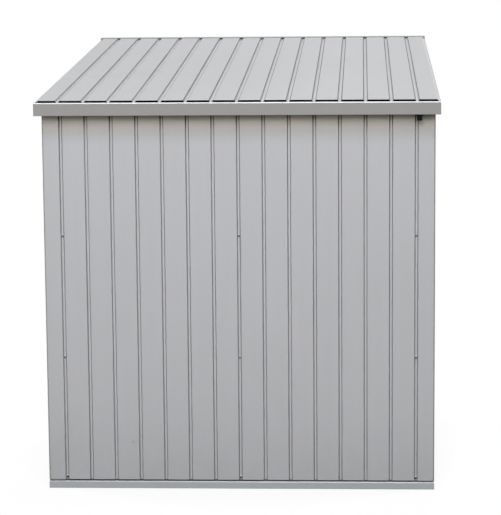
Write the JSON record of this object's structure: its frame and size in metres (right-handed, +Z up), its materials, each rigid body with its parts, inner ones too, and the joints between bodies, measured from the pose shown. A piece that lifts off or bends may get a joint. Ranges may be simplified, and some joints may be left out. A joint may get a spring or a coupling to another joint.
{
  "type": "metal storage shed",
  "caption": "Free-standing garden shed of folded grooved metal sheet with a single-pitch roof that drains into a gutter behind its low fascia, and a closed door in its high side.",
  "frame": {"origin": "middle of the footprint, on the ground", "axes": "+Z up; -Y out of the low eave, the side in the picture; +Y out of the door side; +X to the right in the picture"},
  "size_m": [1.808, 1.928, 2.1137],
  "materials": {
    "wall_sheet": "satin metallic silver",
    "roof_sheet": "satin metallic silver",
    "trim": "satin metallic silver",
    "base_frame": "satin silver",
    "inner_rails": "galvanised",
    "door_hardware": "brushed",
    "spout": "matte",
    "foam": "matt closed-cell foam"
  },
  "bodies": {
    "root": {"base_rail_rear": "base_frame", "base_rail_right": "base_frame", "base_rail_front": "base_frame", "base_rail_left": "base_frame", "corner_post_rear_right": "wall_sheet", "corner_post_front_right": "wall_sheet", "corner_post_front_left": "wall_sheet", "corner_post_rear_left": "wall_sheet", "rear_wall_panel_left": "wall_sheet", "rear_wall_panel_right": "wall_sheet", "right_wall_panel_rear": "wall_sheet", "right_wall_panel_front": "wall_sheet", "left_wall_panel_front": "wall_sheet", "left_wall_panel_rear": "wall_sheet", "front_wall_panel_right": "wall_sheet", "front_wall_panel_left": "wall_sheet", "front_wall_panel_over_door": "wall_sheet", "door_jamb_right": "trim", "door_jamb_left": "trim", "door_head": "trim", "door_outer_skin": "wall_sheet", "door_inner_skin": "wall_sheet", "door_lock_plate": "door_hardware", "door_lever": "door_hardware", "door_hinge_lower": "door_hardware", "door_hinge_middle": "door_hardware", "door_hinge_upper": "door_hardware", "top_rail_rear": "inner_rails", "top_rail_front": "inner_rails", "top_rail_right": "inner_rails", "top_rail_left": "inner_rails", "roof_purlin_low": "inner_rails", "roof_purlin_high": "inner_rails", "roof_sheet_left": "roof_sheet", "roof_sheet_right": "roof_sheet", "side_fascia_right": "trim", "side_fascia_left": "trim", "front_fascia": "trim", "rear_gutter": "trim", "gutter_end_cap_right": "trim", "gutter_end_cap_left": "trim", "drain_spout": "spout", "eave_fillers": "foam"}
  },
  "joints": []
}
